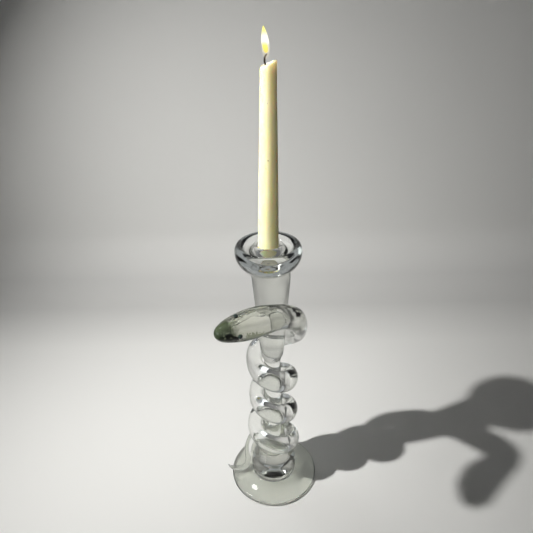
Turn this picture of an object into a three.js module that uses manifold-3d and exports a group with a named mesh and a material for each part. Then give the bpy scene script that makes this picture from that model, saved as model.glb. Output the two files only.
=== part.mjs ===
// Glass candlestick with a snake coiled round its stem, and a taper candle.
// Millimetres, +Z up. The origin is the centre of the foot's flat underside, +X is to the
// right and +Y to the back when the snake's head lies across the front.
import * as THREE from 'three';
import { mergeVertices } from 'three/addons/utils/BufferGeometryUtils.js';
import Module from 'manifold-3d';

const wasm = await Module();
wasm.setup();

// Driving dimensions -------------------------------------------------------------------
const GAP = 0.3;              // clearance between pieces that are fused or seated together
const FOOT_RADIUS = 55.8;
const FOOT_EDGE = 5;          // height of the foot's rounded edge
const KNOP_RADIUS = 29;
const KNOP_CENTRE = 20;       // height of the knop's widest girth
const KNOP_TOP = 48.5;
const STEM_FOOT_RADIUS = 17;
const STEM_TOP_RADIUS = 9.8;
const STEM_TOP = 193;
const NECK_TOP_RADIUS = 22;
const NECK_TOP = 317;
const CUP_RADIUS = 35.5;
const CUP_CREST = 345.5;      // top of the cup's rolled lip
const CUP_SHIFT = -2.4;       // the cup was joined a little off the neck's centre line
const SOCKET_RADIUS = 11.9;
const SOCKET_FLOOR = 330;
const COIL_PITCH = 51;
const COIL_FRONT = 178;       // height of the first loop where it crosses the front
const COIL_TURN_START = 180;  // bearing where the even coil begins, degrees
const COIL_TURN_END = 1140;   // bearing where it gives way to the tail
const EYE_RADIUS = 2.3;
const CANDLE_BASE_RADIUS = 11;
const CANDLE_TOP_RADIUS = 7.5;
const CANDLE_LENGTH = 190;
const CANDLE_TILT = 0.85;     // lean of the candle in its socket, degrees towards +X
const CANDLE_SLANT = 0.4;     // slope of the melted top, rising towards +X
const WICK_RADIUS = 0.9;
const WICK_OFFSET = -2.5;     // the wick stands left of the candle's middle
const WICK_LENGTH = 15;
const WICK_DEPTH = 6;         // how far the wick goes into the wax

// Materials ----------------------------------------------------------------------------
const glass = (color, opacity) =>
  new THREE.MeshStandardMaterial({ color, opacity, transparent: true, roughness: 0.03 });
const CLEAR = () => glass(0xe4ebe6, 0.35);
const SMOKE = () => glass(0x9aa08c, 0.5);
const GREEN = () => glass(0x2f4a26, 0.75);
const solid = (color, roughness) => new THREE.MeshStandardMaterial({ color, roughness });

const radians = THREE.MathUtils.degToRad;

function piece(name, geometry, material) {
  const mesh = new THREE.Mesh(geometry, material);
  mesh.name = name;
  return mesh;
}

// Turned shapes ------------------------------------------------------------------------
// Each outline is a list of [radius, height], walked up the outside and back to the axis.
function smooth(outline, steps) {
  const curve = new THREE.SplineCurve(outline.map(([r, z]) => new THREE.Vector2(r, z)));
  return curve.getPoints(steps).map((p) => [p.x, p.y]);
}

function turned(outline, segments) {
  const points = outline.map(([r, z]) => new THREE.Vector2(Math.max(r, 0), z));
  return new THREE.LatheGeometry(points, segments).rotateX(Math.PI / 2);
}

// the visible skin of the column, shared by the pieces and by the snake that hugs it
const knopSkin = smooth([
  [27.8, 12], [28.7, 16], [KNOP_RADIUS, KNOP_CENTRE], [28.4, 27], [26.4, 34],
  [23.4, 39.5], [20.2, 44], [17.9, KNOP_TOP],
], 12);
const stemSkin = smooth([
  [STEM_FOOT_RADIUS, 53], [15.6, 65], [14.2, 82], [12.9, 104], [11.8, 130],
  [10.8, 158], [10.0, 182], [STEM_TOP_RADIUS, STEM_TOP],
], 10);
const neckSkin = smooth([
  [10.1, STEM_TOP + 2], [11.4, 198], [13.0, 203], [13.9, 211], [15.6, 234], [18.2, 270],
  [20.4, 295], [NECK_TOP_RADIUS, NECK_TOP],
], 14);

function columnRadius(height) {
  const skin = [...knopSkin, ...stemSkin, ...neckSkin];
  const above = skin.findIndex(([, z]) => z >= height);
  if (above < 1) return skin[above < 0 ? skin.length - 1 : 0][0];
  const [r0, z0] = skin[above - 1];
  const [r1, z1] = skin[above];
  return r0 + ((r1 - r0) * (height - z0)) / (z1 - z0);
}

function foot() {
  const edge = smooth([
    [FOOT_RADIUS - 2.5, 0], [FOOT_RADIUS - 0.7, 0.7], [FOOT_RADIUS, 2.4],
    [FOOT_RADIUS - 0.6, 3.9], [FOOT_RADIUS - 2.6, FOOT_EDGE],
  ], 8);
  const top = smooth([[45, 6.4], [38, 8], [32, 9.8], [28.6, 12.2]], 6);
  const seat = [[27.6, 9.5], [26, 7], [0, 7]];
  return turned([[0, 0], ...edge, ...top, ...seat], 64);
}

function baseKnop() {
  const under = [[0, 7 + GAP], [25.8, 7 + GAP], [27.2, 9.5]];
  return turned([...under, ...knopSkin, [0, KNOP_TOP]], 48);
}

function stem() {
  return turned([[0, KNOP_TOP + GAP], [17.6, KNOP_TOP + GAP], ...stemSkin, [0, STEM_TOP]], 40);
}

// solid cone with a rounded lower end, widening up to the cup
function neckCone() {
  const outside = [[0, STEM_TOP + GAP], [STEM_TOP_RADIUS, STEM_TOP + GAP], ...neckSkin];
  return turned([...outside, [0, NECK_TOP]], 48);
}

// thick bowl with a rolled lip, a drip well and a raised ring round the candle socket
function cup() {
  const bowl = smooth([
    [22.6, NECK_TOP + GAP], [25.6, 318.8], [29.6, 322], [32.8, 326.6], [34.9, 332],
    [CUP_RADIUS, 337.2], [35, 341.6], [33.2, 344.7], [31, CUP_CREST], [29, 344.8],
  ], 18);
  const well = smooth([
    [26.4, 341.8], [23.4, 339.6], [20.4, 339.2], [18, 341], [16.2, 344], [14.4, 345.8],
    [12.9, 345.6], [SOCKET_RADIUS + 0.2, 344.2],
  ], 12);
  const socket = [[SOCKET_RADIUS, 342.6], [SOCKET_RADIUS, SOCKET_FLOOR + 1.2],
    [SOCKET_RADIUS - 1.1, SOCKET_FLOOR], [0, SOCKET_FLOOR]];
  const shape = turned([[0, NECK_TOP + GAP], ...bowl, ...well, ...socket], 56);
  return shape.translate(CUP_SHIFT, 0, 0);
}

// The snake ----------------------------------------------------------------------------
// A station is x, y, z of the middle of a section, its half width, its half thickness,
// then the bearing and the rise of the snake's back there, in degrees.
const HEAD_STATIONS = [
  [-50.8, -102.6, 306.4, 1.2, 1.4, -80, 62], [-50.2, -101.9, 306.2, 4.0, 3.8, -80, 62],
  [-48.2, -99.4, 305.2, 7.0, 6.6, -80, 62], [-44.6, -95.2, 303.6, 9.6, 9.2, -80, 61],
  [-38.6, -88.6, 301.4, 12.2, 11.6, -80, 60], [-30.2, -80.4, 298.8, 14.2, 13.4, -80, 56],
  [-20.4, -72.0, 296.6, 15.2, 13.8, -80, 49], [-9.0, -65.0, 295.4, 14.6, 12.8, -80, 36],
  [2.4, -58.8, 293.6, 13.2, 11.4, -76, 25],
];
const NECK_STATIONS = [
  [13, -50.4, 288.4, 12.8, 10.2, -60, 18], [22.8, -37.4, 276.6, 12.8, 10, -36, 12],
  [28.8, -18.4, 256.6, 13.4, 10, -6, 8], [28.2, 3.6, 233.6, 13.8, 10, 25, 4],
  [20.4, 20.8, 215.4, 14, 10.2, 50, 2],
];
const TAIL_STATIONS = [
  [4, 25.6, 54, 8.6, 7.0, 90, 0], [-14, 23.4, 53, 7.6, 6.2, 125, 0],
  [-26.8, 15.6, 48.4, 6.6, 5.6, 155, 0], [-33, 9.6, 38.4, 5.6, 4.9, 170, 0],
  [-34.4, 5.2, 28.6, 4.6, 4.2, 175, 0], [-34.4, 2.2, 20.6, 3.8, 3.6, 180, 10],
  [-36.6, -1.8, 14.2, 3.6, 3.4, 200, 35], [-42, -4.8, 11.6, 3.6, 3.3, 230, 70],
  [-48.6, -5.2, 11.0, 3.3, 3.2, 250, 75], [-54.4, -4.6, 11.4, 2.8, 2.8, 250, 70],
  [-57.8, -4.2, 12.8, 1.6, 1.6, 240, 70], [-61.2, -3.6, 16.4, 0.4, 0.4, 230, 70],
];

function heading(bearing, rise) {
  const [b, r] = [radians(bearing), radians(rise)];
  return [Math.cos(b) * Math.cos(r), Math.sin(b) * Math.cos(r), Math.sin(r)];
}

// one section of the even coil, lying against the column at the given bearing
function coilStation(bearing, height, halfWidth, halfThickness) {
  const column = Math.max(columnRadius(height), columnRadius(height + halfWidth / 2) - 0.6);
  const reach = column + halfThickness + 0.7;
  const [x, y] = heading(bearing, 0);
  return [x * reach, y * reach, height, halfWidth, halfThickness, bearing, 0];
}

// the rod was drawn by hand, so its thickness wanders: bearing, half width, half thickness
const COIL_GAUGE = [[60, 13.8, 10.2], [180, 13.8, 9.8], [360, 13.8, 9.8], [540, 13.2, 8.4],
  [720, 13.2, 9], [900, 12.8, 8.9], [COIL_TURN_END, 12.2, 8.4]];

function coilGauge(bearing) {
  const i = COIL_GAUGE.findIndex(([b]) => b >= bearing);
  const [low, high] = [COIL_GAUGE[Math.max(i - 1, 0)], COIL_GAUGE[i]];
  const t = i > 0 ? (bearing - low[0]) / (high[0] - low[0]) : 0;
  return [1, 2].map((c) => low[c] + (high[c] - low[c]) * t);
}

// the first three sections ease from the neck's steep descent into the even coil
function coilStations() {
  const list = [[85, 206.5], [115, 200.5], [148, 195.5]].map(([bearing, height]) =>
    coilStation(bearing, height, ...coilGauge(bearing)));
  for (let bearing = COIL_TURN_START; bearing <= COIL_TURN_END; bearing += 30) {
    const height = COIL_FRONT - (COIL_PITCH * (bearing - 270)) / 360;
    list.push(coilStation(bearing, height, ...coilGauge(bearing)));
  }
  return list;
}

// smooth run of sections through the stations, spaced by the distance between them
function flow(stations, perStation) {
  const keys = stations.map((s) => [...s.slice(0, 5), ...heading(s[5], s[6])]);
  const knots = [0];
  for (let i = 1; i < keys.length; i++) {
    const step = Math.hypot(...[0, 1, 2].map((c) => keys[i][c] - keys[i - 1][c]));
    knots.push(knots[i - 1] + Math.sqrt(step));
  }
  const slope = (i, c) => {
    const [a, b] = [Math.max(i - 1, 0), Math.min(i + 1, keys.length - 1)];
    return (keys[b][c] - keys[a][c]) / (knots[b] - knots[a]);
  };
  const blend = (i, t, c) => {
    const span = knots[i + 1] - knots[i];
    const [t2, t3] = [t * t, t * t * t];
    return (2 * t3 - 3 * t2 + 1) * keys[i][c] + (t3 - 2 * t2 + t) * span * slope(i, c)
      + (3 * t2 - 2 * t3) * keys[i + 1][c] + (t3 - t2) * span * slope(i + 1, c);
  };
  const run = [];
  for (let i = 0; i < keys.length - 1; i++) {
    for (let k = 0; k < perStation; k++) {
      run.push(keys[0].map((_, c) => blend(i, k / perStation, c)));
    }
  }
  run.push(keys[keys.length - 1]);
  return run;
}

// each section's own directions: along the run, out through its back, and to its side
function framed(run) {
  const centres = run.map((s) => new THREE.Vector3(s[0], s[1], s[2]));
  return run.map((s, i) => {
    const along = centres[Math.min(i + 1, run.length - 1)].clone()
      .sub(centres[Math.max(i - 1, 0)]).normalize();
    const back = new THREE.Vector3(s[5], s[6], s[7]);
    back.addScaledVector(along, -back.dot(along)).normalize();
    const side = new THREE.Vector3().crossVectors(along, back);
    return { centre: centres[i], along, back, side, halfWidth: s[3], halfThickness: s[4] };
  });
}

// a point on a section's rim, at an angle turned from its side towards its back
function onRim(section, angle, lift = 0) {
  return section.centre.clone()
    .addScaledVector(section.side, (section.halfWidth + lift) * Math.cos(angle))
    .addScaledVector(section.back, (section.halfThickness + lift) * Math.sin(angle));
}

// closed skin over a run of framed sections, each an ellipse square to the run
function swept(run, sides) {
  const points = [];
  for (const section of run) {
    for (let k = 0; k < sides; k++) {
      points.push(...onRim(section, (2 * Math.PI * k) / sides).toArray());
    }
  }
  const index = [];
  for (let i = 0; i < run.length - 1; i++) {
    for (let k = 0; k < sides; k++) {
      const [a, b] = [i * sides + k, i * sides + ((k + 1) % sides)];
      index.push(a, b + sides, b, a, a + sides, b + sides);
    }
  }
  const last = (run.length - 1) * sides;
  for (let k = 1; k < sides - 1; k++) {
    index.push(0, k, k + 1, last, last + k + 1, last + k);
  }
  const geometry = new THREE.BufferGeometry();
  geometry.setAttribute('position', new THREE.Float32BufferAttribute(points, 3));
  geometry.setIndex(index);
  geometry.computeVertexNormals();
  return geometry;
}

// the whole snake as one run of sections, and the two places where its glass changes
const PER_STATION = 3;
const snakeRun = framed(flow(
  [...HEAD_STATIONS, ...NECK_STATIONS, ...coilStations(), ...TAIL_STATIONS], PER_STATION));
const NOSE_END = 3 * PER_STATION + 1;
const HEAD_END = (HEAD_STATIONS.length - 1) * PER_STATION;

// sections from one index to another, with the first one drawn back by the joining gap
function stretch(from, to) {
  const [first, ...rest] = snakeRun.slice(from, to + 1);
  const shift = from > 0 ? GAP : 0;
  return [{ ...first, centre: first.centre.clone().addScaledVector(first.along, shift) }, ...rest];
}

const eyeSpots = {
  snake_eye_upper: onRim(snakeRun[13], radians(120), -0.4),
  snake_eye_lower: onRim(snakeRun[12], radians(24), -0.4),
};

function eye(spot) {
  return new THREE.SphereGeometry(EYE_RADIUS, 14, 10).translate(spot.x, spot.y, spot.z);
}

function toManifold(geometry) {
  const bare = geometry.clone();
  bare.deleteAttribute('normal');
  bare.deleteAttribute('uv');
  const welded = mergeVertices(bare, 1e-4);
  return new wasm.Manifold(new wasm.Mesh({
    numProp: 3,
    vertProperties: new Float32Array(welded.attributes.position.array),
    triVerts: new Uint32Array(welded.index.array),
  }));
}

function fromManifold(body) {
  const mesh = body.getMesh();
  const geometry = new THREE.BufferGeometry();
  geometry.setAttribute('position', new THREE.Float32BufferAttribute(mesh.vertProperties, 3));
  geometry.setIndex(Array.from(mesh.triVerts));
  geometry.computeVertexNormals();
  return geometry;
}

// flattened head with a small hollow for each eye bead
function snakeHead() {
  let body = toManifold(swept(stretch(NOSE_END, HEAD_END), 22));
  for (const spot of Object.values(eyeSpots)) {
    const hollow = wasm.Manifold.sphere(EYE_RADIUS + GAP, 20).translate([spot.x, spot.y, spot.z]);
    body = body.subtract(hollow);
  }
  return fromManifold(body);
}

// The candle ---------------------------------------------------------------------------
// Built upright on its own base, then leaned and set down in the socket.
function inSocket(geometry) {
  return geometry.rotateY(radians(CANDLE_TILT))
    .translate(CUP_SHIFT, 0, SOCKET_FLOOR + 2 * GAP);
}

function slanted(geometry) {
  const p = geometry.attributes.position;
  for (let i = 0; i < p.count; i++) {
    const rise = THREE.MathUtils.smoothstep(p.getZ(i), CANDLE_LENGTH - 22, CANDLE_LENGTH - 6);
    p.setZ(i, p.getZ(i) + CANDLE_SLANT * rise * p.getX(i));
  }
  return geometry;
}

// tapered wax with a small melted dish round the wick
function candleWax() {
  const R = CANDLE_TOP_RADIUS;
  const L = CANDLE_LENGTH;
  const side = [[0, 0], [CANDLE_BASE_RADIUS - 0.6, 0], [CANDLE_BASE_RADIUS, 0.8],
    [10.2, 45], [9.4, 88], [8.6, 130], [R + 0.35, L - 22], [R + 0.1, L - 8], [R, L - 2.2],
    [R - 0.5, L - 0.8], [R - 1.4, L - 0.3], [R - 2.4, L - 0.9]];
  const dish = [[3.4, L - 2], [1.6, L - 2.4], [0, L - 2.5]];
  const bore = wasm.Manifold.cylinder(WICK_DEPTH + 6, WICK_RADIUS + GAP, WICK_RADIUS + GAP, 14)
    .translate([WICK_OFFSET, 0, L - WICK_DEPTH - 1.5]);
  const wax = toManifold(slanted(turned([...side, ...dish], 36))).subtract(bore);
  return inSocket(fromManifold(wax));
}

// burnt wick standing in the dish, with a small bend along it
function candleWick() {
  const base = CANDLE_LENGTH - WICK_DEPTH - 1.5 + 2 * GAP;
  const path = [[0, 0], [0, 4], [-0.2, 6], [-0.9, 9], [-0.4, 12.2], [1.0, WICK_LENGTH]];
  const run = framed(flow(path.map(([x, z]) =>
    [WICK_OFFSET + x, 0, base + z, WICK_RADIUS, WICK_RADIUS, 90, 0]), 2));
  return inSocket(swept(run, 10));
}

// Assembly -----------------------------------------------------------------------------
const group = new THREE.Group();
group.name = 'glass_candlestick';
group.add(
  piece('foot', foot(), CLEAR()),
  piece('base_knop', baseKnop(), CLEAR()),
  piece('stem', stem(), CLEAR()),
  piece('neck_cone', neckCone(), CLEAR()),
  piece('cup', cup(), CLEAR()),
  piece('snake_body', swept(stretch(HEAD_END, snakeRun.length - 1), 18), CLEAR()),
  piece('snake_head', snakeHead(), SMOKE()),
  piece('snake_nose', swept(stretch(0, NOSE_END), 22), GREEN()),
  piece('candle_wax', candleWax(), solid(0xf3ecd2, 0.5)),
  piece('candle_wick', candleWick(), solid(0x1d1712, 0.9)),
);
for (const [name, spot] of Object.entries(eyeSpots)) {
  group.add(piece(name, eye(spot), solid(0x141a10, 0.15)));
}

export default group;
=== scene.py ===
"""Looks for the glass candlestick with a coiled snake and a lit taper candle.

Lengths in the tables of the shapes are millimetres in the CAD frame; MM turns them into
metres. Materials, lamps and the floor are in metres.
"""
import math

import bpy
import numpy as np
from mathutils import Matrix, Vector


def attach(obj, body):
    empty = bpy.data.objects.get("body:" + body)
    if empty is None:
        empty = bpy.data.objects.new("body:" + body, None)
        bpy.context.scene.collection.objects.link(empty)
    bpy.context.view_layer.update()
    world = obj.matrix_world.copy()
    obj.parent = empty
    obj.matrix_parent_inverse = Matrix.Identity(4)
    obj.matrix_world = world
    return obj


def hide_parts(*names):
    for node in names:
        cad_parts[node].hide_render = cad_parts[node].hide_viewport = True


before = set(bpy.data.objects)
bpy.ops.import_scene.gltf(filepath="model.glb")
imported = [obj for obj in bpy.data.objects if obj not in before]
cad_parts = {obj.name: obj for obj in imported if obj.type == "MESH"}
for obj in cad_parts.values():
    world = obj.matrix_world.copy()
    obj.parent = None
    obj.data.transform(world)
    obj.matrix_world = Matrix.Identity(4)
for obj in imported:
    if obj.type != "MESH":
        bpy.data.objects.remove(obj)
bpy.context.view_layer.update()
MM = 0.001

# ---------------------------------------------------------------- shapes shared with the CAD
CUP_SHIFT = -2.4
SOCKET_FLOOR = 330.0
CANDLE_LENGTH = 190.0
CANDLE_TILT = math.radians(0.85)
CANDLE_SLANT = 0.4

# The column's outline from the middle of its underside up to the socket: radius, height.
FOOT = [(8.0, 0.0), (24.0, 0.0), (40.0, 0.0), (49.0, 0.0), (52.2, 0.0), (53.6, 0.1), (55.0, 0.7),
        (55.8, 2.3), (55.3, 3.9), (53.2, 5.1), (45, 6.4), (38, 8.0), (32, 9.9), (29.4, 11.2),
        (28.3, 12.6)]
KNOP = [(28.2, 14.2), (28.8, 17.2), (29.0, 21), (28.3, 27.4), (26.4, 34), (23.4, 39.5),
        (20.2, 44.2), (18.1, 48.5)]
STEM = [(16.8, 54), (15.6, 65), (14.2, 82), (12.9, 104), (11.8, 130), (10.8, 158),
        (10.0, 182), (9.8, 192)]
NECK = [(10.3, 195.4), (11.5, 198.4), (13.0, 203), (13.9, 211), (15.6, 234), (18.2, 270),
        (20.4, 295), (21.9, 315.2)]
BOWL = [(22.6, 317.2), (25.6, 318.8), (29.6, 322), (32.8, 326.6), (34.9, 332), (35.5, 337.2),
        (35.0, 341.6), (33.2, 344.7), (31.0, 345.5), (29.0, 344.8)]
WELL = [(26.4, 341.8), (23.4, 339.6), (20.4, 339.2), (18, 341), (16.2, 344), (14.4, 345.7),
        (12.9, 345.4), (12.1, 344.0)]
SOCKET = [(11.9, 342.4), (11.9, 338), (11.9, 332.4), (11.5, 330.7), (9.8, 330.1)]

# Sections of the snake: x, y, z, half width, half thickness, and the bearing and rise in
# degrees of its thickness.
HEAD_STATIONS = [
    (-50.8, -102.6, 306.4, 1.2, 1.4, -80, 62), (-50.2, -101.9, 306.2, 4.0, 3.8, -80, 62),
    (-48.2, -99.4, 305.2, 7.0, 6.6, -80, 62), (-44.6, -95.2, 303.6, 9.6, 9.2, -80, 61),
    (-38.6, -88.6, 301.4, 12.2, 11.6, -80, 60), (-30.2, -80.4, 298.8, 14.2, 13.4, -80, 56),
    (-20.4, -72.0, 296.6, 15.2, 13.8, -80, 49), (-9.0, -65.0, 295.4, 14.6, 12.8, -80, 36),
    (2.4, -58.8, 293.6, 13.2, 11.4, -76, 25)]
NECK_STATIONS = [
    (13, -50.4, 288.4, 12.8, 10.2, -60, 18), (22.8, -37.4, 276.6, 12.8, 10, -36, 12),
    (28.8, -18.4, 256.6, 13.4, 10, -6, 8), (28.2, 3.6, 233.6, 13.8, 10, 25, 4),
    (20.4, 20.8, 215.4, 14, 10.2, 50, 2)]
TAIL_STATIONS = [
    (4, 25.6, 54, 8.6, 7.0, 90, 0), (-14, 23.4, 53, 7.6, 6.2, 125, 0),
    (-26.8, 15.6, 48.4, 6.6, 5.6, 155, 0), (-33, 9.6, 38.4, 5.6, 4.9, 170, 0),
    (-34.4, 5.2, 28.6, 4.6, 4.2, 175, 0), (-34.4, 2.2, 20.6, 3.8, 3.6, 180, 10),
    (-36.6, -1.8, 14.2, 3.6, 3.4, 200, 35), (-42, -4.8, 11.6, 3.6, 3.3, 230, 70),
    (-48.6, -5.2, 11.0, 3.3, 3.2, 250, 75), (-54.4, -4.6, 11.4, 2.8, 2.8, 250, 70),
    (-57.8, -4.2, 12.8, 1.6, 1.6, 240, 70), (-61.2, -3.6, 16.4, 0.4, 0.4, 230, 70)]

# The coil between neck and tail: its first stations as bearing and height, then an even
# fall of COIL_PITCH a turn, and its gauge as bearing, half width, half thickness.
COIL_START = [(85, 206.5), (115, 200.5), (148, 195.5)]
COIL_BEARINGS = range(180, 1141, 30)
COIL_TOP_BEARING, COIL_TOP = 270, 178
COIL_PITCH = 51
COIL_GAUGE = [(60, 13.8, 10.2), (180, 13.8, 9.8), (360, 13.8, 9.8), (540, 13.2, 8.4),
              (720, 13.2, 9.0), (900, 12.8, 8.9), (1140, 12.2, 8.4)]
COIL_GAP = 0.7
COIL_BITE = 0.6


# ---------------------------------------------------------------- curves and mesh helpers
def smooth(points, per):
    """Catmull-Rom run through the points, with per steps between each two."""
    p = np.array(points, float)
    run = []
    for i in range(len(p) - 1):
        a, b, c, d = p[max(i - 1, 0)], p[i], p[i + 1], p[min(i + 2, len(p) - 1)]
        for t in np.arange(per) / per:
            run.append(0.5 * (2 * b + (c - a) * t + (2 * a - 5 * b + 4 * c - d) * t ** 2
                              + (3 * b - a - 3 * c + d) * t ** 3))
    run.append(p[-1])
    return np.array(run)


def eased(values, start, run):
    """0 up to the start, 1 after the run, with a soft step between."""
    t = np.clip((values - start) / run, 0, 1)
    return t * t * (3 - 2 * t)


def swelling(angle, z, waves):
    """Slow swelling round and up a turned piece; each wave is size, count round, length up."""
    return sum(size * np.sin(count * angle + z / length) for size, count, length in waves)


def heading(bearing, rise):
    b, r = math.radians(bearing), math.radians(rise)
    return [math.cos(b) * math.cos(r), math.sin(b) * math.cos(r), math.sin(r)]


def make_object(name, verts, faces):
    mesh = bpy.data.meshes.new(name)
    mesh.from_pydata([tuple(v) for v in verts], [], faces)
    mesh.validate()
    mesh.shade_smooth()
    obj = bpy.data.objects.new(name, mesh)
    bpy.context.scene.collection.objects.link(obj)
    return obj


def ring_faces(rings, sides):
    faces = []
    for i in range(rings - 1):
        for k in range(sides):
            a, b = i * sides + k, i * sides + (k + 1) % sides
            faces.append((a, b, b + sides, a + sides))
    return faces


def end_fans(rings, sides):
    """Faces that close both ends of the rings on the two points that follow them."""
    low, high = rings * sides, rings * sides + 1
    last = (rings - 1) * sides
    faces = []
    for k in range(sides):
        n = (k + 1) % sides
        faces.append((low, n, k))
        faces.append((high, last + k, last + n))
    return faces


def lathe(outline, sides):
    """Closed skin turned about Z; the outline's two ends are joined to the axis."""
    angles = 2 * math.pi * np.arange(sides) / sides
    verts = [(r * math.cos(a), r * math.sin(a), z) for r, z in outline for a in angles]
    verts += [(0, 0, outline[0][1]), (0, 0, outline[-1][1])]
    return np.array(verts), ring_faces(len(outline), sides) + end_fans(len(outline), sides)


def flow(stations, per):
    """Smooth run of sections, spaced by the distance between the stations."""
    keys = np.array([list(s[:5]) + heading(s[5], s[6]) for s in stations])
    steps = np.sqrt(np.linalg.norm(np.diff(keys[:, :3], axis=0), axis=1))
    knots = np.concatenate([[0], np.cumsum(steps)])
    last = len(keys) - 1

    def slope(i):
        a, b = max(i - 1, 0), min(i + 1, last)
        return (keys[b] - keys[a]) / (knots[b] - knots[a])

    run = []
    for i in range(last):
        span = knots[i + 1] - knots[i]
        for t in np.arange(per) / per:
            run.append((2 * t ** 3 - 3 * t ** 2 + 1) * keys[i]
                       + (t ** 3 - 2 * t ** 2 + t) * span * slope(i)
                       + (3 * t ** 2 - 2 * t ** 3) * keys[i + 1]
                       + (t ** 3 - t ** 2) * span * slope(i + 1))
    run.append(keys[-1])
    return np.array(run)


def section_frames(run):
    """Each section's centre and the directions of its width and thickness."""
    centre = run[:, :3]
    along = np.gradient(centre, axis=0)
    along /= np.linalg.norm(along, axis=1)[:, None]
    back = run[:, 5:8] - (run[:, 5:8] * along).sum(1)[:, None] * along
    back /= np.linalg.norm(back, axis=1)[:, None]
    return centre, np.cross(along, back), back


def sweep(run, sides):
    """Closed skin through a run of oval sections."""
    centre, side, back = section_frames(run)
    a = 2 * math.pi * np.arange(sides) / sides
    verts = (centre[:, None] + (run[:, 3, None] * np.cos(a))[..., None] * side[:, None]
             + (run[:, 4, None] * np.sin(a))[..., None] * back[:, None]).reshape(-1, 3)
    verts = np.vstack([verts, centre[:1], centre[-1:]])
    faces = ring_faces(len(run), sides) + end_fans(len(run), sides)
    return verts, [tuple(reversed(f)) for f in faces]


# ---------------------------------------------------------------- column of clear glass
COLUMN_SIDES = 112
COLUMN_WAVES = [(0.0045, 2, 31.0), (0.003, 3, -17.0)]
CALM_FOOT = 8.0
CALM_TOP, CALM_TOP_RUN, CALM_LEAST = 350, 60, 0.35
SHIFT_START, SHIFT_RUN = 306, 14

column_outline = smooth(FOOT + KNOP + STEM + NECK + BOWL + WELL + SOCKET, 5)
coiled_part = smooth(KNOP + STEM + NECK, 8)
coiled_part[:, 1] = np.maximum.accumulate(coiled_part[:, 1])


def column_radius(z):
    return np.interp(z, coiled_part[:, 1], coiled_part[:, 0])


def hand_made(verts):
    """The small unevenness of glass shaped by hand; the foot's underside stays flat."""
    v = verts.copy()
    x, y, z = v[:, 0], v[:, 1], v[:, 2]
    calm = (np.clip(z / CALM_FOOT, 0, 1)
            * np.clip((CALM_TOP - z) / CALM_TOP_RUN, CALM_LEAST, 1))
    swell = swelling(np.arctan2(y, x), z, COLUMN_WAVES) * calm
    v[:, 0], v[:, 1] = x * (1 + swell), y * (1 + swell)
    v[:, 0] += CUP_SHIFT * eased(z, SHIFT_START, SHIFT_RUN)
    return v


def column():
    verts, faces = lathe(column_outline, COLUMN_SIDES)
    return make_object("candlestick_glass", hand_made(verts) * MM, faces)


# ---------------------------------------------------------------- snake of glass
SNAKE_STEPS, SNAKE_SIDES = 8, 40
# The band of painted shade along the head's lower edge: its angle round the head and its half
# width in degrees, and the sections where it starts, is full, still full and gone.
PAINTED_BAND_ANGLE, PAINTED_BAND_WIDTH = 2.0, 44.0
PAINTED_BAND_ENDS = (32, 42, 72, 90)

EYE_LIFT = 0.5
EYE_SIDES = 28
EYE = [(0.4, -2.0), (1.3, -1.7), (2.1, -0.9), (2.35, 0.0), (2.25, 0.7), (1.8, 1.45), (1.1, 1.95),
       (0.35, 2.15)]


def coil_station(bearing, height, half_width, half_thick):
    """A section that lies against the column."""
    wall = max(column_radius(height), column_radius(height + half_width / 2) - COIL_BITE)
    reach = wall + half_thick + COIL_GAP
    x, y, _ = heading(bearing, 0)
    return (x * reach, y * reach, height, half_width, half_thick, bearing, 0)


def coil_stations():
    turns = COIL_START + [(b, COIL_TOP - COIL_PITCH * (b - COIL_TOP_BEARING) / 360)
                          for b in COIL_BEARINGS]
    bearings, widths, thicks = zip(*COIL_GAUGE)
    return [coil_station(b, z, np.interp(b, bearings, widths), np.interp(b, bearings, thicks))
            for b, z in turns]


snake_run = flow(HEAD_STATIONS + NECK_STATIONS + coil_stations() + TAIL_STATIONS, SNAKE_STEPS)


def snake():
    """The snake's skin, with a mark for the band of painted shade along the head's lower edge."""
    verts, faces = sweep(snake_run, SNAKE_SIDES)
    obj = make_object("snake_glass", verts * MM, faces)
    section, corner = np.divmod(np.arange(len(verts)), SNAKE_SIDES)
    off = (corner * 360 / SNAKE_SIDES - PAINTED_BAND_ANGLE + 180) % 360 - 180
    reach = np.interp(section, PAINTED_BAND_ENDS, (0, 1, 1, 0))
    mark = np.clip(1 - np.abs(off) / PAINTED_BAND_WIDTH, 0, 1) * reach
    obj.data.attributes.new("painted_band", "FLOAT", "POINT").data.foreach_set("value", mark)
    return obj


def on_head(section, angle, lift):
    """A point above the head's skin, and the direction out of the skin there."""
    centre, side, back = section_frames(snake_run)
    a = math.radians(angle)
    half_width, half_thick = snake_run[section, 3:5]
    across, through = side[section] * math.cos(a), back[section] * math.sin(a)
    normal = across / half_width + through / half_thick
    normal /= np.linalg.norm(normal)
    return centre[section] + (across * half_width + through * half_thick) + normal * lift, normal


def eye(name, section, angle):
    place, normal = on_head(section, angle, EYE_LIFT)
    verts, faces = lathe(smooth(EYE, 3), EYE_SIDES)
    turn = Vector(normal).to_track_quat("Z", "Y").to_matrix()
    verts = np.array([turn @ Vector(v) for v in verts]) + place
    return make_object(name, verts * MM, faces)


# ---------------------------------------------------------------- candle
CANDLE_SEAT = 0.6
WAX_SIDES = 96
WAX_TOP_RADIUS = 7.5
WAX_WAVES = [(0.006, 2, 37), (0.004, 5, -23)]
WAX_FLAT_FOOT = 2
SLANT_DEPTH, SLANT_RUN = 22, 16
RIM_RIPPLE = 0.12

WICK_X, WICK_DEPTH, WICK_RADIUS, WICK_SIDES = -2.5, 7.0, 0.84, 16
WICK_LOBE, WICK_TWIST, WICK_TIP_RINGS = 0.1, 0.55, 3.0
WICK_PATH = [(0, 0), (0, 4.0), (-0.2, 6.0), (-0.9, 8.6), (-0.4, 11.8), (1.0, 14.4)]

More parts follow.
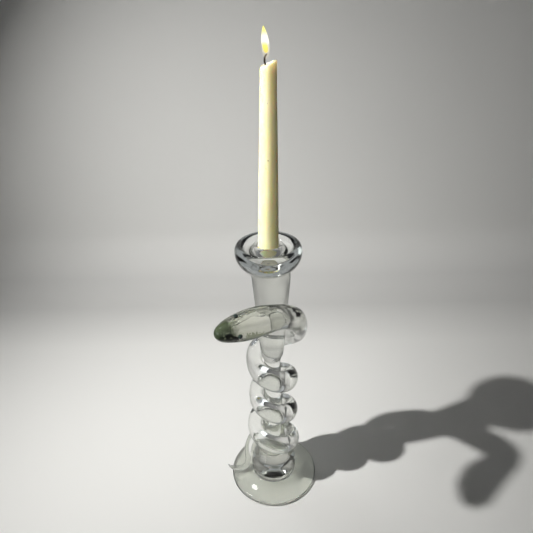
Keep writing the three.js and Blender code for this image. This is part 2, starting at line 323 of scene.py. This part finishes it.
# The flame's layers: radius and height above the candle's top, and the lean of their axis
# from its lower end to its upper end.
FLAME_X, FLAME_SIDES = -2.9, 40
ENVELOPE = [(0.3, 2.6), (0.9, 3.2), (1.8, 4.4), (2.7, 6.4), (3.2, 9.6), (3.45, 13.6),
            (3.3, 17.2), (2.8, 20.6), (1.9, 24.4), (0.9, 27.4), (0.3, 28.9)]
ENVELOPE_LEAN = (1.1, -1.4)
CORE = [(0.3, 7.9), (1.3, 8.5), (2.0, 10.2), (2.25, 12.6), (2.0, 14.8), (1.3, 16.6), (0.3, 17.4)]
CORE_LEAN = (0.9, -1.1)


def in_socket(verts):
    """Stands a piece of the candle, modelled upright from its foot, in the cup."""
    turn = Matrix.Rotation(CANDLE_TILT, 3, "Y")
    verts = np.array([turn @ Vector(v) for v in verts])
    return verts + np.array([CUP_SHIFT, 0, SOCKET_FLOOR + CANDLE_SEAT])


def candle_wax():
    """The tapered stick, with a soft rim, a dished top and the slant it has burnt to."""
    top, r = CANDLE_LENGTH, WAX_TOP_RADIUS
    side = smooth([(10.2, 0.0), (10.8, 0.3), (11.0, 1.2), (10.55, 24), (10.2, 45), (9.8, 66),
                   (9.4, 88), (9.0, 109), (8.6, 130), (8.2, 150), (r + 0.3, top - 20),
                   (r + 0.12, top - 8), (r, top - 2.6), (r - 0.25, top - 1.3),
                   (r - 0.8, top - 0.5), (r - 1.6, top - 0.4), (r - 2.4, top - 1.0),
                   (3.4, top - 1.9), (1.6, top - 2.3), (0.5, top - 2.4)], 6)
    verts, faces = lathe(side, WAX_SIDES)
    x, y, z = verts.T
    angle = np.arctan2(y, x)
    rise = eased(z, top - SLANT_DEPTH, SLANT_RUN)
    verts[:, 2] = z + rise * (CANDLE_SLANT * x + RIM_RIPPLE * np.sin(3 * angle + 0.6))
    swell = 1 + swelling(angle, z, WAX_WAVES) * (z > WAX_FLAT_FOOT)
    verts[:, 0] *= swell
    verts[:, 1] *= swell
    return make_object("taper_wax", in_socket(verts) * MM, faces)


def candle_wick():
    """The wick's bent, slightly lobed cord, narrowed over its last rings."""
    base = CANDLE_LENGTH - WICK_DEPTH
    path = smooth(WICK_PATH, 8)
    verts = []
    for i, (x, z) in enumerate(path):
        end = min(1.0, (len(path) - i) / WICK_TIP_RINGS)
        for a in 2 * math.pi * np.arange(WICK_SIDES) / WICK_SIDES:
            r = WICK_RADIUS * end * (1 + WICK_LOBE * math.sin(3 * a + i * WICK_TWIST))
            verts.append((WICK_X + x + r * math.cos(a), r * math.sin(a), base + z))
    tip_x, tip_z = path[-1]
    verts += [(WICK_X, 0, base), (WICK_X + tip_x, 0, base + tip_z + 0.1)]
    faces = ring_faces(len(path), WICK_SIDES) + end_fans(len(path), WICK_SIDES)
    return make_object("taper_wick", in_socket(np.array(verts)) * MM, faces)


def flame_layer(name, outline, lean):
    """One layer of the flame, turned about the wick and drawn over to one side."""
    verts, faces = lathe(smooth(outline, 6), FLAME_SIDES)
    z = verts[:, 2]
    t = (z - z.min()) / (z.max() - z.min())
    verts[:, 0] += FLAME_X + lean[0] + (lean[1] - lean[0]) * t ** 1.5
    return make_object(name, in_socket(verts + np.array([0, 0, CANDLE_LENGTH])) * MM, faces)


# ---------------------------------------------------------------- materials
def grey(value):
    return (value, value, value)


class Nodes:
    """Short hand for building a node material; a value is a number or a node's output."""

    def __init__(self, name):
        self.material = bpy.data.materials.new(name)
        self.material.use_nodes = True
        self.tree = self.material.node_tree
        self.tree.nodes.clear()
        self.output = self.add("ShaderNodeOutputMaterial")
        self.place = self.add("ShaderNodeTexCoord").outputs["Object"]

    def add(self, kind, **values):
        node = self.tree.nodes.new(kind)
        for key, value in values.items():
            if key in node.inputs:
                node.inputs[key].default_value = value
            else:
                setattr(node, key, value)
        return node

    def link(self, source, target):
        self.tree.links.new(source, target)

    def feed(self, value, target):
        if isinstance(value, bpy.types.NodeSocket):
            self.link(value, target)
        else:
            target.default_value = value

    def calc(self, operation, *values):
        node = self.add("ShaderNodeMath", operation=operation)
        for value, socket in zip(values, node.inputs):
            self.feed(value, socket)
        return node.outputs["Value"]

    def calc_vector(self, operation, *values):
        node = self.add("ShaderNodeVectorMath", operation=operation)
        for value, socket in zip(values, node.inputs):
            self.feed(value, socket)
        return node.outputs["Value" if operation in ("LENGTH", "DISTANCE") else "Vector"]

    def axis(self, name):
        axes = self.add("ShaderNodeSeparateXYZ")
        self.link(self.place, axes.inputs["Vector"])
        return axes.outputs[name]

    def share(self, value, none, full):
        """0 where the value is at none, 1 where it is at full, and held beyond."""
        node = self.add("ShaderNodeMapRange")
        node.inputs["From Min"].default_value = none
        node.inputs["From Max"].default_value = full
        self.link(value, node.inputs["Value"])
        return node.outputs["Result"]

    def ramp(self, source, stops):
        node = self.add("ShaderNodeValToRGB")
        band = node.color_ramp
        while len(band.elements) < len(stops):
            band.elements.new(0.5)
        for element, (place, colour) in zip(band.elements, stops):
            element.position, element.color = place, (*colour, 1)
        self.link(source, node.inputs["Fac"])
        return node.outputs["Color"]

    def grey_ramp(self, source, stops):
        return self.ramp(source, [(place, grey(value)) for place, value in stops])

    def noise(self, scale, detail=2.0, roughness=0.5):
        node = self.add("ShaderNodeTexNoise", Scale=scale, Detail=detail, Roughness=roughness)
        self.link(self.place, node.inputs["Vector"])
        return node.outputs["Fac"]

    def bump(self, height, distance, strength, under=None):
        node = self.add("ShaderNodeBump", Strength=strength, Distance=distance)
        self.link(height, node.inputs["Height"])
        if under:
            self.link(under, node.inputs["Normal"])
        return node.outputs["Normal"]

    def multiplied(self, a, b):
        blend = self.add("ShaderNodeMix", data_type="RGBA", blend_type="MULTIPLY")
        blend.inputs["Factor"].default_value = 1.0
        self.link(a, blend.inputs["A"])
        self.link(b, blend.inputs["B"])
        return blend.outputs["Result"]

    def principled(self, sockets):
        """The main shader; constants go straight onto its own sockets."""
        shader = self.add("ShaderNodeBsdfPrincipled")
        for name, value in sockets.items():
            self.feed(value, shader.inputs[name])
        return shader.outputs["BSDF"]

    def clear(self, colour=(1, 1, 1)):
        return self.add("ShaderNodeBsdfTransparent", Color=(*colour, 1)).outputs["BSDF"]

    def mixed(self, share, first, second):
        mix = self.add("ShaderNodeMixShader")
        self.link(share, mix.inputs["Fac"])
        self.link(first, mix.inputs[1])
        self.link(second, mix.inputs[2])
        return mix.outputs["Shader"]

    def ending_in(self, shader):
        self.link(shader, self.output.inputs["Surface"])
        return self.material


# Painted shade: how far the glass's base colour is darkened as its surface turns away to a
# glancing angle.
PAINTED_EDGE_SHADE = [(0.0, (1, 1, 1)), (0.42, (1, 1, 1)), (0.66, (0.66, 0.67, 0.65)),
               (0.85, (0.30, 0.31, 0.29)), (1.0, (0.14, 0.15, 0.13))]

# Smoke in the column by height in metres: foot, stem, the greyer neck and the cup.
COLUMN_SMOKE = [
    (0.0, (0.86, 0.865, 0.83)), (0.012, (0.86, 0.865, 0.83)), (0.03, (0.985, 0.99, 0.98)),
    (0.195, (0.985, 0.99, 0.98)), (0.21, (0.94, 0.945, 0.93)), (0.31, (0.94, 0.945, 0.93)),
    (0.325, (0.985, 0.99, 0.985))]

# Where lamp light passes the column without being bent: heights and distances from the axis.
OPEN_FULL_HEIGHT, OPEN_TOP = 38 * MM, 46 * MM
OPEN_FULL_REACH, OPEN_EDGE = 50 * MM, 54 * MM
OPEN_TINT = (0.25, 0.255, 0.24)

# Colour of the snake by its share of NOSE_REACH from the nose, and how solid the nose is.
NOSE_PLACE, NOSE_REACH = (-0.0505, -0.102, 0.306), 0.13
NOSE_RAGGED = 0.12
SNAKE_SMOKE = [
    (0.08, (0.085, 0.12, 0.06)), (0.17, (0.13, 0.16, 0.085)), (0.24, (0.72, 0.73, 0.63)),
    (0.40, (0.74, 0.745, 0.67)), (0.66, (0.80, 0.805, 0.75)), (0.86, (0.90, 0.905, 0.87)),
    (1.0, (0.98, 0.985, 0.975))]
NOSE_CLEARNESS = [(0.14, 0.45), (0.22, 1)]
# The painted shade band's ragged edge and its darkening of the base colour.
PAINTED_BAND_RAGGED = 1.3
PAINTED_BAND_SHADES = [(0.0, (1, 1, 1)), (0.92, (1, 1, 1)), (1.0, (0.20, 0.23, 0.15))]


def glass(n, colour, tint, density, waves, **sockets):
    """Clear solid glass, tinted inside, with two sizes of bump and painted shade at glancing
    edges.

    Its base colour is darkened at glancing angles: painted shade that draws its dark outlines.
    """
    edge = n.add("ShaderNodeLayerWeight", Blend=0.5)
    # Painted shade at glancing edges, multiplied into the base colour.
    colour = n.multiplied(colour, n.ramp(edge.outputs["Facing"], PAINTED_EDGE_SHADE))
    normal = None
    for scale, detail, distance, strength in waves:
        normal = n.bump(n.noise(scale, detail), distance, strength, normal)
    body = n.add("ShaderNodeVolumeAbsorption", Color=(*tint, 1), Density=density)
    n.link(body.outputs["Volume"], n.output.inputs["Volume"])
    return n.principled({"Base Color": colour, "Roughness": 0.0, "IOR": 1.5,
                         "Transmission Weight": 1.0, "Normal": normal, **sockets})


def clear_glass():
    """The column; its foot and knop let lamps through, the rim and the rest keep a shadow."""
    n = Nodes("clear_art_glass")
    shader = glass(n, n.ramp(n.axis("Z"), COLUMN_SMOKE), (0.45, 0.48, 0.36), 5.0,
                   [(34, 1.0, 0.0010, 0.22), (160, 1.5, 0.0001, 0.2)])
    from_axis = n.calc_vector("LENGTH", n.calc_vector("MULTIPLY", n.place, (1, 1, 0)))
    area = n.calc("MULTIPLY", n.share(n.axis("Z"), OPEN_TOP, OPEN_FULL_HEIGHT),
                  n.share(from_axis, OPEN_EDGE, OPEN_FULL_REACH))
    shadow_ray = n.add("ShaderNodeLightPath").outputs["Is Shadow Ray"]
    return n.ending_in(n.mixed(n.calc("MULTIPLY", shadow_ray, area), shader,
                               n.clear(OPEN_TINT)))


def snake_glass():
    """Green and partly solid at the nose, smoky along the head, clear from the neck on."""
    n = Nodes("snake_art_glass")
    from_nose = n.share(n.calc_vector("DISTANCE", n.place, NOSE_PLACE), 0.0, NOSE_REACH)
    ragged = n.calc("MULTIPLY_ADD", n.noise(150, 3.0, 0.6), NOSE_RAGGED, from_nose)
    # Painted shade: a dark band along the head's lower edge, multiplied into the base colour.
    painted_band = n.add("ShaderNodeAttribute", attribute_name="painted_band").outputs["Fac"]
    painted_band = n.calc("MULTIPLY_ADD", n.noise(330, 3.0, 0.65), PAINTED_BAND_RAGGED, painted_band)
    colour = n.multiplied(n.ramp(ragged, SNAKE_SMOKE), n.ramp(painted_band, PAINTED_BAND_SHADES))
    shader = glass(n, colour, (0.62, 0.65, 0.52), 3.0,
                   [(46, 1.0, 0.0012, 0.35), (220, 2.0, 0.0003, 0.3)],
                   **{"Transmission Weight": n.grey_ramp(ragged, NOSE_CLEARNESS)})
    return n.ending_in(shader)


def eye_glass():
    n = Nodes("dark_bead_glass")
    colour = n.ramp(n.noise(900), [(0.4, (0.004, 0.006, 0.004)), (0.7, (0.01, 0.05, 0.03))])
    return n.ending_in(n.principled({
        "Base Color": colour, "Roughness": 0.06, "Coat Weight": 1.0, "Coat Roughness": 0.02,
        "Normal": n.bump(n.noise(500, 1.0), 0.0001, 0.2)}))


def wax():
    """Mottled ivory wax with a few dark specks; its emission is painted light from the flame just
    below the flame, and a faint painted lift of the shaded side further down.
    """
    n = Nodes("candle_wax_ivory")
    mottle = n.ramp(n.noise(60, 3.0), [(0.3, (0.88, 0.83, 0.52)), (0.7, (0.92, 0.88, 0.60))])
    specks = n.ramp(n.noise(420, 1.0, 0.4), [(0.765, (1, 1, 1)), (0.80, (0.45, 0.40, 0.32))])
    top = SOCKET_FLOOR + CANDLE_LENGTH
    # Painted light: the flame's light on the wax near its top, and a faint lift of the shaded
    # side all the way down.
    glow = n.ramp(n.share(n.axis("Z"), (top - 15) * MM, (top + 2) * MM), [
        (0.0, (0.035, 0.030, 0.0)), (0.5, (0.09, 0.06, 0.01)), (1.0, (0.40, 0.27, 0.12))])
    low = n.bump(n.noise(90), 0.0006, 0.3)
    return n.ending_in(n.principled({
        "Base Color": n.multiplied(mottle, specks), "Roughness": 0.42,
        "Subsurface Weight": 1.0, "Subsurface Radius": (1.0, 0.80, 0.42),
        "Subsurface Scale": 0.006, "Coat Weight": 0.15, "Coat Roughness": 0.3,
        "Emission Color": glow, "Emission Strength": 0.8,
        "Normal": n.bump(n.noise(900), 0.00008, 0.3, low)}))


def char():
    n = Nodes("charred_wick")
    colour = n.ramp(n.noise(1500, 3.0), [(0.35, (0.006, 0.005, 0.004)),
                                         (0.7, (0.05, 0.035, 0.025))])
    return n.ending_in(n.principled({
        "Base Color": colour, "Roughness": 0.85,
        "Normal": n.bump(n.noise(2500), 0.0002, 0.8)}))


FLAME_LOW, FLAME_HIGH = 523 * MM, 549.6 * MM


def fire(name, strength, colours, cover):
    """Glow that changes with height, and lets part of what is behind show through."""
    n = Nodes(name)
    level = n.share(n.axis("Z"), FLAME_LOW, FLAME_HIGH)
    glow = n.add("ShaderNodeEmission", Strength=strength)
    n.link(n.ramp(level, colours), glow.inputs["Color"])
    return n.ending_in(n.mixed(n.grey_ramp(level, cover), n.clear(), glow.outputs["Emission"]))


def envelope_fire():
    return fire("flame_outer_glow", 1.3, [
        (0.0, (1.0, 0.80, 0.55)), (0.3, (1.0, 0.92, 0.62)), (0.55, (1.0, 0.97, 0.85)),
        (0.72, (1.0, 0.98, 0.80)), (0.86, (1.0, 0.95, 0.30)), (1.0, (0.95, 0.86, 0.20))], [
        (0.0, 0.06), (0.12, 0.09), (0.20, 0.14), (0.27, 0.24), (0.44, 0.26), (0.55, 0.85),
        (1.0, 0.95)])


def core_fire():
    return fire("flame_core_glow", 1.05, [
        (0.2, (0.9, 0.66, 0.10)), (0.32, (1.0, 0.84, 0.0)), (0.5, (1.0, 0.94, 0.0))], [
        (0.0, 0.9), (1.0, 0.95)])


# The stage is matt. Its colour greys off outside the lamp's pool, a painted pool of light, and
# there it has a faint painted glow, so that views from other sides don't look into the dark.
STAGE_MATT = {"Roughness": 0.9, "Specular IOR Level": 0.1, "Emission Strength": 1.0}
# A faint painted glow on the table, and on the sheet outside its painted pool of light.
PAINTED_GLOW = 0.08
# SHEET_PAINTED_SHADE is the sheet's painted shade outside its painted pool of light.
TABLE_GREY, SHEET_PAINTED_SHADE = 0.20, 0.16
# The painted pool of light on the sheet: how its sides flare, its half width, its front edge and
# its fade.
PAINTED_POOL_FLARE, PAINTED_POOL_HALF, PAINTED_POOL_FRONT, PAINTED_POOL_FADE = 0.467, 0.40, -0.11, 0.07
# Painted light and shade on the sheet by its distance behind the object's axis: even near the
# object, darker where it starts to bend up, lighter up the wall.
PAINTED_SHEET_SHADING = [(0.0, (0.80, 0.80, 0.785)), (0.28, (0.80, 0.80, 0.785)),
                (0.41, (0.66, 0.66, 0.65)), (0.49, (0.70, 0.70, 0.69)),
                (0.535, (0.86, 0.86, 0.845))]


def table_felt():
    n = Nodes("grey_felt")
    colour = n.grey_ramp(n.noise(3, 3.0), [(0.3, TABLE_GREY * 0.985), (0.7, TABLE_GREY)])
    # The table's emission is a faint painted glow.
    return n.ending_in(n.principled({
        "Base Color": colour, "Emission Color": (*grey(PAINTED_GLOW), 1), **STAGE_MATT}))


def sheet_paper():
    """Pale paper with a painted pool of light: it greys off outside it, where it has a faint
    painted glow; seen from behind it is clear.
    """
    n = Nodes("pale_paper")
    off_side = n.calc("SUBTRACT", n.calc("ABSOLUTE", n.axis("X")),
                      n.calc("MULTIPLY", n.axis("Y"), PAINTED_POOL_FLARE))
    painted_pool = n.calc("MULTIPLY", n.share(off_side, PAINTED_POOL_HALF + PAINTED_POOL_FADE, PAINTED_POOL_HALF),
                  n.share(n.axis("Y"), PAINTED_POOL_FRONT - PAINTED_POOL_FADE, PAINTED_POOL_FRONT))
    # Painted pool of light: the sheet's colour is pale inside the pool and dark outside it.
    tint = n.add("ShaderNodeMix", data_type="RGBA")
    n.link(painted_pool, tint.inputs["Factor"])
    tint.inputs["A"].default_value = (*grey(SHEET_PAINTED_SHADE), 1)
    n.link(n.ramp(n.axis("Y"), PAINTED_SHEET_SHADING), tint.inputs["B"])
    shader = n.principled({
        "Base Color": tint.outputs["Result"],
        "Emission Color": n.grey_ramp(painted_pool, [(0.0, PAINTED_GLOW), (1.0, 0)]), **STAGE_MATT})
    behind = n.add("ShaderNodeNewGeometry").outputs["Backfacing"]
    return n.ending_in(n.mixed(behind, shader, n.clear()))


# ---------------------------------------------------------------- the pieces
def finish_piece(obj, material, body, slot, *nodes):
    obj.data.materials.append(material)
    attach(obj, body)
    if nodes:
        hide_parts(*nodes)


finish_piece(column(), clear_glass(), "candlestick", "clear_glass",
             "foot", "base_knop", "stem", "neck_cone", "cup")
finish_piece(snake(), snake_glass(), "candlestick", "smoky_glass",
             "snake_body", "snake_head", "snake_nose")
bead = eye_glass()
finish_piece(eye("eye_bead_upper", 35, 120), bead, "candlestick", "dark_glass", "snake_eye_upper")
finish_piece(eye("eye_bead_lower", 32, 24), bead, "candlestick", "dark_glass", "snake_eye_lower")
finish_piece(candle_wax(), wax(), "candle", "wax", "candle_wax")
finish_piece(candle_wick(), char(), "candle", "wick", "candle_wick")
finish_piece(flame_layer("flame_envelope", ENVELOPE, ENVELOPE_LEAN), envelope_fire(),
             "candle", "wick")
finish_piece(flame_layer("flame_core", CORE, CORE_LEAN), core_fire(), "candle", "wick")


# ---------------------------------------------------------------- floor, lights and camera
SHEET_HALF, SHEET_FRONT, SHEET_TOP, SHEET_Z = 0.80, -0.30, 0.9, -0.0005
TURN_START, TURN_RADIUS, TURN_STEPS = 0.42, 0.12, 18
TABLE_HALF, TABLE_Z = 3, -0.002


def stage_piece(name, verts, faces, material):
    obj = make_object(name, verts, faces)
    obj.data.materials.append(material)


def sweep_floor():
    """A pale sheet on a grey table; it turns up into a wall behind the object."""
    arc = [(TURN_START + TURN_RADIUS * math.sin(t), TURN_RADIUS - TURN_RADIUS * math.cos(t))
           for t in np.linspace(0, math.pi / 2, TURN_STEPS)]
    line = [(SHEET_FRONT, 0.0), (0.2, 0.0)] + arc + [(TURN_START + TURN_RADIUS, SHEET_TOP)]
    verts = [(x, y, z + SHEET_Z) for x in (-SHEET_HALF, SHEET_HALF) for y, z in line]
    count = len(line)
    faces = [(i, count + i, count + i + 1, i + 1) for i in range(count - 1)]
    stage_piece("pale_sweep", verts, faces, sheet_paper())
    corners = [(-1, -1), (1, -1), (1, 1), (-1, 1)]
    stage_piece("grey_table", [(x * TABLE_HALF, y * TABLE_HALF, TABLE_Z) for x, y in corners],
                [(0, 1, 2, 3)], table_felt())


def lamp(name, place, target, energy, shape, size, **values):
    """An area lamp at the place, turned to face the target."""
    data = bpy.data.lights.new(name, "AREA")
    data.energy, data.shape, data.size = energy, shape, size
    for key, value in values.items():
        setattr(data, key, value)
    obj = bpy.data.objects.new(name, data)
    obj.location = place
    obj.rotation_euler = (Vector(target) - Vector(place)).to_track_quat("-Z", "Y").to_euler()
    bpy.context.scene.collection.objects.link(obj)
    return obj


def light_up():
    """A small hard key and a softer one above; a window for the glass, a fill for the wax."""
    lamp("key_lamp", (-0.577, -0.176, 0.841), (0.10, 0.19, 0.05), 3.3, "DISK", 0.03,
         spread=math.radians(97), color=(1.0, 0.99, 0.965))
    lamp("ceiling_lamp", (-0.505, 0.475, 1.60), (0, 0, 0.2), 1.4, "DISK", 0.20)
    window = lamp("side_window", (-1.1, -0.55, 0.55), (0, 0, 0.3), 3.6, "RECTANGLE", 0.9,
                  size_y=1.0, color=(0.90, 0.97, 1.0))
    window.visible_diffuse = False
    fill = lamp("wax_fill", (-0.35, -0.75, 0.75), (0, 0, 0.43), 3.0, "DISK", 0.3,
                color=(1.0, 0.98, 0.90))
    lit_by_fill = bpy.data.collections.new("lit_by_wax_fill")
    lit_by_fill.objects.link(bpy.data.objects["taper_wax"])
    fill.light_linking.receiver_collection = lit_by_fill


def soft_world():
    """The room around, seen by the camera and in glass; it doesn't light matt surfaces."""
    world = bpy.data.worlds.new("soft_room")
    bpy.context.scene.world = world
    world.use_nodes = True
    background = world.node_tree.nodes["Background"]
    background.inputs["Color"].default_value = (0.92, 0.96, 1.0, 1)
    background.inputs["Strength"].default_value = 0.38
    world.cycles_visibility.diffuse = False


# The photo's camera: its place, how far it looks down, how far it is rolled, and its focal
# length in pixels of a picture PHOTO_SIDE wide.
CAMERA_PLACE = (-0.00465, -0.464, 0.577)
PITCH, ROLL = math.radians(29.1), math.radians(1.12)
PHOTO_FOCAL, PHOTO_SIDE, SENSOR = 500.0, 533.0, 36.0


def photo_camera():
    ahead = Vector((0, math.cos(PITCH), -math.sin(PITCH)))
    right, up = Vector((1, 0, 0)), Vector((0, math.sin(PITCH), math.cos(PITCH)))
    rolled_right = right * math.cos(ROLL) - up * math.sin(ROLL)
    rolled_up = right * math.sin(ROLL) + up * math.cos(ROLL)
    lens = bpy.data.cameras.new("camera")
    lens.sensor_width = SENSOR
    lens.lens = SENSOR * PHOTO_FOCAL / PHOTO_SIDE
    camera = bpy.data.objects.new("camera", lens)
    turn = Matrix((rolled_right, rolled_up, -ahead)).transposed().to_4x4()
    camera.matrix_world = Matrix.Translation(CAMERA_PLACE) @ turn
    bpy.context.scene.collection.objects.link(camera)
    bpy.context.scene.camera = camera


sweep_floor()
light_up()
soft_world()
photo_camera()
bpy.context.scene.view_settings.view_transform = "Standard"
